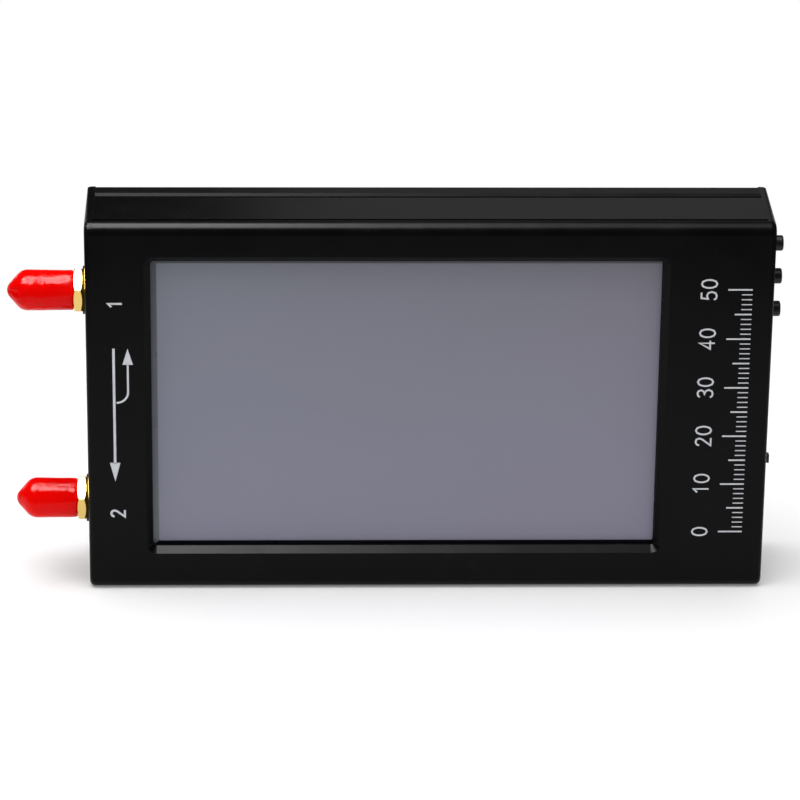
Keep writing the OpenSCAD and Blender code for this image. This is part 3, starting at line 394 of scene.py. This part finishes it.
def display():
    """The display's area, off and under a matt film, and the strips of film around it, both with
    painted light and shade.
    """
    low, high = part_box("touch_panel")
    back = low.y
    # The off display is lighter towards the bottom: painted light and shade.
    shaded_lavender = [srgb(127, 127, 144), srgb(129, 126, 143), srgb(121, 124, 135),
                srgb(120, 119, 130)]
    off = finish("display_off", shaded_lavender, 0.36, specular=0.2, patch=25.0, bump=0.01, edge=0.05)
    bm = bmesh.new()
    plate(bm, rounded(VIEW_LEFT, VIEW_RIGHT, VIEW_BOTTOM, VIEW_TOP, VIEW_CORNER), back,
          back - FILM)
    piece("display_area", bm, off)

    # The strips stop a film's thickness short of the touch panel's edges
    left, right = low.x + FILM, high.x - FILM
    bottom, top = low.z + FILM, high.z - FILM
    # The border film comes as two copies: grey on the left and top, darker towards the top, and
    # near black on the bottom and right. The split and the gradient are painted light and shade.
    lit_greys = [srgb(101, 105, 111), srgb(101, 105, 111), srgb(83, 85, 89), srgb(83, 85, 89)]
    grey = finish("film_lit_finish", lit_greys, 0.3, specular=0.2, edge=0.05)
    black = finish("film_shaded_finish", srgb(9, 9, 20), 0.3, specular=0.2, edge=0.05)
    strips = {
        "film_border_lit": (grey, [(left, bottom), (left, top), (right, top),
                                    (VIEW_RIGHT, VIEW_TOP), (VIEW_LEFT, VIEW_TOP),
                                    (VIEW_LEFT, VIEW_BOTTOM)]),
        "film_border_shaded": (black, [(left, bottom), (VIEW_LEFT, VIEW_BOTTOM),
                                      (VIEW_RIGHT, VIEW_BOTTOM), (VIEW_RIGHT, VIEW_TOP),
                                      (right, top), (right, bottom)]),
    }
    for name, (material, outline) in strips.items():
        bm = bmesh.new()
        plate(bm, outline, back, back - BORDER_FILM)
        piece(name, bm, material)


# ---- printing ----

# Digits as strokes, in a box 0.6 wide and 1 high
DIGITS = {
    "0": [[(0.3, 1), (0.13, 0.92), (0.04, 0.7), (0.02, 0.5), (0.04, 0.3), (0.13, 0.08), (0.3, 0),
           (0.47, 0.08), (0.56, 0.3), (0.58, 0.5), (0.56, 0.7), (0.47, 0.92), (0.3, 1)]],
    "1": [[(0.12, 0.76), (0.36, 1), (0.36, 0)]],
    "2": [[(0.05, 0.76), (0.12, 0.92), (0.3, 1), (0.48, 0.93), (0.55, 0.76), (0.48, 0.56),
           (0.05, 0), (0.58, 0)]],
    "3": [[(0.05, 0.84), (0.14, 0.95), (0.3, 1), (0.48, 0.93), (0.54, 0.76), (0.46, 0.6),
           (0.26, 0.54), (0.48, 0.46), (0.57, 0.27), (0.48, 0.07), (0.3, 0), (0.13, 0.04),
           (0.03, 0.17)]],
    "4": [[(0.42, 0), (0.42, 1), (0.02, 0.3), (0.37, 0.3)], [(0.47, 0.3), (0.6, 0.3)]],
    "5": [[(0.52, 1), (0.13, 1), (0.08, 0.57), (0.3, 0.64), (0.49, 0.55), (0.57, 0.32),
           (0.48, 0.08), (0.28, 0), (0.1, 0.05), (0.02, 0.18)]],
}
DIGIT_WIDTH = 0.6
DIGIT_STEP = 0.82


def stroke(bm, points, width, y):
    """A flat printed line of constant width through points in x and z, mitred at its bends.

    It closes on itself where the last point is the first.
    """
    closed = points[0] == points[-1]
    ways = [Vector((b[0] - a[0], b[1] - a[1])).normalized() for a, b in zip(points, points[1:])]
    rows = []
    for i, (x, z) in enumerate(points[:-1] if closed else points):
        before = ways[i - 1] if i > 0 or closed else ways[0]
        after = ways[min(i, len(ways) - 1)]
        mean = (before + after).normalized()
        side = Vector((-mean.y, mean.x))
        side *= width / 2 / max(side.dot(Vector((-before.y, before.x))), MITRE_LIMIT)
        rows.append([bm.verts.new((x + sign * side.x, depth, z + sign * side.y))
                     for depth in (y, y - INK) for sign in (-1, 1)])
    ends = () if closed else (rows[0], rows[-1])
    for row in ends:
        bm.faces.new((row[0], row[1], row[3], row[2]))
    if closed:
        rows.append(rows[0])
    for first, second in zip(rows, rows[1:]):
        for k, j in ((0, 1), (1, 3), (3, 2), (2, 0)):
            bm.faces.new((first[k], first[j], second[j], second[k]))


def print_number(bm, text, size, width, x, z, y):
    """A number that reads upwards, with its middle at x and z."""
    length = DIGIT_STEP * (len(text) - 1) + DIGIT_WIDTH
    for i, digit in enumerate(text):
        along = i * DIGIT_STEP - length / 2
        for points in DIGITS[digit]:
            stroke(bm, [(x - (v - 0.5) * size, z + (u + along) * size) for u, v in points],
                   width, y)


def arrow_head(bm, x, z_base, z_tip, y):
    """A printed triangle that points up or down."""
    plate(bm, [(x, z_tip), (x - HEAD_WIDTH / 2, z_base), (x + HEAD_WIDTH / 2, z_base)],
          y, y - INK)


def port_numerals(ink, face):
    """The plain numerals 1 and 2 beside the ports."""
    for i in (1, 2):
        low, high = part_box(f"dust_cap_{i}")
        bm = bmesh.new()
        print_number(bm, str(i), PORT_TEXT, LINE, PORT_TEXT_X, (low.z + high.z) / 2, face)
        piece(f"port_numeral_{i}", bm, ink)


def arrows(ink, face):
    """A long arrow that points down, and a bent one that leaves it and points up."""
    bm = bmesh.new()
    stroke(bm, [(LONG_ARROW_X, z) for z in LONG_ARROW_LINE], 1.15 * LINE, face)
    arrow_head(bm, LONG_ARROW_X, *LONG_ARROW_HEAD, face)
    piece("long_arrow", bm, ink)

    bm = bmesh.new()
    corner, end = BRANCH_LINE
    curve = [(BRANCH_X, end), (BRANCH_X, corner)]
    for k in range(1, BEND_STEPS + 1):
        a = math.radians(90 * k / BEND_STEPS)
        curve.append((BRANCH_X - BRANCH_BEND * (1 - math.cos(a)),
                      corner - BRANCH_BEND * math.sin(a)))
    stroke(bm, curve, 0.9 * LINE, face)
    arrow_head(bm, BRANCH_X, *BRANCH_HEAD, face)
    piece("branch_arrow", bm, ink)


def rule(ink, face):
    """A plain rule with ticks of three lengths and a number at each long one."""
    heights = [RULE_START + (RULE_END - RULE_START) * k / RULE_STEPS
               for k in range(RULE_STEPS + 1)]
    bm = bmesh.new()
    for k, z in enumerate(heights):
        length, width = next(tick[1:] for tick in TICKS if k % tick[0] == 0)
        stroke(bm, [(RULE_X - length, z), (RULE_X, z)], width, face)
    piece("rule_ticks", bm, ink)

    bm = bmesh.new()
    for k in range(0, RULE_STEPS + 1, RULE_NUMBERED):
        print_number(bm, str(k), RULE_TEXT, 0.8 * LINE, RULE_TEXT_X, heights[k], face)
    piece("rule_numbers", bm, ink)


def printing():
    """Plain numerals and arrows at the ports, and a plain rule at the right of the window."""
    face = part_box("front_shell")[0].y
    ink = finish("white_ink", srgb(196, 198, 203), 0.5, specular=0.2, tint=0.05, edge=0.01,
                 patch=900.0)
    port_numerals(ink, face)
    arrows(ink, face)
    rule(ink, face)


# ---- charging socket ----

def block(bm, low, high):
    """A box between two corners, part of a larger piece."""
    made = bmesh.ops.create_cube(bm, size=1.0)
    for vert in made["verts"]:
        vert.co = Vector(low[i] if vert.co[i] < 0 else high[i] for i in range(3))


def socket_contacts():
    """The flat gold contacts on both faces of the socket's tongue."""
    low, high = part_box("charging_socket_tongue")
    middle = (low + high) / 2
    front = high.x - CONTACT_SETBACK
    bm = bmesh.new()
    for side in (-1, 1):
        surface = middle.y + side * TONGUE_THICKNESS / 2
        depths = sorted((surface, surface + side * CONTACT_THICKNESS))
        for k in range(CONTACTS):
            z = middle.z + (k - (CONTACTS - 1) / 2) * CONTACT_PITCH
            block(bm, (front - CONTACT_LENGTH, depths[0], z - CONTACT_WIDTH / 2),
                  (front, depths[1], z + CONTACT_WIDTH / 2))
    piece("socket_contacts", bm, FINISHES["gold_brass"])


# ---- stage ----

def seen_rays(tree):
    """1 for what the camera sees directly, in a reflection or through something clear."""
    path = tree.nodes.new("ShaderNodeLightPath")
    total = path.outputs["Is Camera Ray"]
    for other in ("Is Glossy Ray", "Is Transmission Ray"):
        total = combined(tree, "MAXIMUM", total, path.outputs[other])
    return total


def floor_mesh():
    """A flat disc, in rings around its middle."""
    bm = bmesh.new()
    centre = bm.verts.new((0, 0, 0))
    turns = [2 * math.pi * k / FLOOR_SIDES for k in range(FLOOR_SIDES)]
    loops = [[bm.verts.new((r * math.cos(turn), r * math.sin(turn), 0)) for turn in turns]
             for r in FLOOR_RINGS]
    for k in range(FLOOR_SIDES):
        j = (k + 1) % FLOOR_SIDES
        bm.faces.new((centre, loops[0][k], loops[0][j]))
        for near, far in zip(loops, loops[1:]):
            bm.faces.new((near[k], far[k], far[j], near[j]))
    mesh = bpy.data.meshes.new("floor")
    bm.to_mesh(mesh)
    bm.free()
    return mesh


def floor_material():
    """A pale colour that turns white, in what is seen, away from the object."""
    material = bpy.data.materials.new("floor_white")
    material.use_nodes = True
    tree = material.node_tree
    tree.nodes.clear()
    output = tree.nodes.new("ShaderNodeOutputMaterial")
    matt = add(tree, "ShaderNodeBsdfDiffuse", Color=FLOOR_COLOUR)
    glow = add(tree, "ShaderNodeEmission", Color=WHITE, Strength=1.0)
    place = tree.nodes.new("ShaderNodeTexCoord").outputs["Object"]
    length = tree.nodes.new("ShaderNodeVectorMath")
    length.operation = "LENGTH"
    tree.links.new(place, length.inputs[0])
    far = spread(tree, length.outputs["Value"], *FLOOR_GLOW, FLOOR_PLAIN, FLOOR_WHITE,
                 smooth=True)
    share = combined(tree, "MULTIPLY", far, seen_rays(tree))
    tree.links.new(blended(tree, share, matt, glow), output.inputs["Surface"])
    return material


def floor():
    """A plain pale floor that turns white away from the object and keeps its shadow."""
    mesh = floor_mesh()
    mesh.materials.append(floor_material())
    obj = bpy.data.objects.new("floor", mesh)
    bpy.context.scene.collection.objects.link(obj)


def world():
    """White all round for what is seen, with a dark studio ceiling in reflections."""
    studio = bpy.data.worlds.new("studio")
    bpy.context.scene.world = studio
    studio.use_nodes = True
    studio.cycles.sampling_method = "NONE"
    tree = studio.node_tree
    tree.nodes.clear()
    output = tree.nodes.new("ShaderNodeOutputWorld")
    direction = tree.nodes.new("ShaderNodeTexCoord").outputs["Generated"]
    split = tree.nodes.new("ShaderNodeSeparateXYZ")
    tree.links.new(direction, split.inputs[0])
    lean = tree.nodes.new("ShaderNodeMath")
    lean.operation = "MULTIPLY_ADD"
    lean.inputs[1].default_value = CEILING_LEAN
    tree.links.new(split.outputs["Y"], lean.inputs[0])
    tree.links.new(split.outputs["Z"], lean.inputs[2])
    ceiling = spread(tree, lean.outputs[0], 1.0, CEILING, *CEILING_FADE, smooth=True)
    depths = spread(tree, split.outputs["Z"], DEPTHS, 1.0, *DEPTHS_FADE)
    band = combined(tree, "MULTIPLY", ceiling, depths)

    # The camera itself sees plain white
    path = tree.nodes.new("ShaderNodeLightPath")
    level = tree.nodes.new("ShaderNodeMix")
    tree.links.new(path.outputs["Is Camera Ray"], level.inputs["Factor"])
    tree.links.new(band, level.inputs[2])
    level.inputs[3].default_value = 1.0

    ambient = add(tree, "ShaderNodeBackground", Color=WHITE, Strength=AMBIENT)
    white = add(tree, "ShaderNodeBackground", Color=WHITE)
    tree.links.new(level.outputs[0], white.inputs["Strength"])
    tree.links.new(blended(tree, seen_rays(tree), ambient, white), output.inputs["Surface"])


def softbox(name, place, target, width, height, watts, gloss_only=False):
    """A rectangular lamp that faces a target, seen by all surfaces or in their gloss only."""
    light = bpy.data.lights.new(name, "AREA")
    light.shape = "RECTANGLE"
    light.size = width
    light.size_y = height
    light.energy = watts
    obj = bpy.data.objects.new(name, light)
    obj.location = place
    obj.rotation_euler = (Vector(target) - Vector(place)).to_track_quat("-Z", "Y").to_euler()
    obj.visible_diffuse = not gloss_only
    bpy.context.scene.collection.objects.link(obj)


def lights():
    """A soft light from above, and two panels that only show as gloss."""
    softbox("overhead", place=(-0.12, -0.03, 0.62), target=(-0.02, 0.0, 0.05),
            width=0.6, height=0.6, watts=4.2)
    softbox("left_glow", place=(-0.32, -0.09, 0.60), target=(-0.32, -0.09, 0.0),
            width=0.6, height=0.48, watts=24.5, gloss_only=True)
    softbox("back_panel", place=(0.075, 0.5, 0.28), target=(0.03, 0.0, 0.075),
            width=0.22, height=0.2, watts=0.056, gloss_only=True)


def camera():
    """The camera at the photograph's viewing angle."""
    view = bpy.data.cameras.new("portrait")
    view.lens = CAMERA_LENS
    view.sensor_width = CAMERA_SENSOR
    view.clip_start, view.clip_end = CAMERA_CLIP
    obj = bpy.data.objects.new("portrait", view)
    turn = (Matrix.Rotation(CAMERA_YAW, 4, "Z")
            @ Matrix.Rotation(math.radians(90) - CAMERA_PITCH, 4, "X")
            @ Matrix.Rotation(CAMERA_ROLL, 4, "Z"))
    obj.matrix_world = Matrix.Translation(CAMERA_PLACE) @ turn
    bpy.context.scene.collection.objects.link(obj)
    bpy.context.scene.camera = obj


dress_frame()
display()
printing()
socket_contacts()
floor()
world()
lights()
camera()

bpy.context.scene.view_settings.view_transform = "Standard"

bpy.context.view_layer.update()
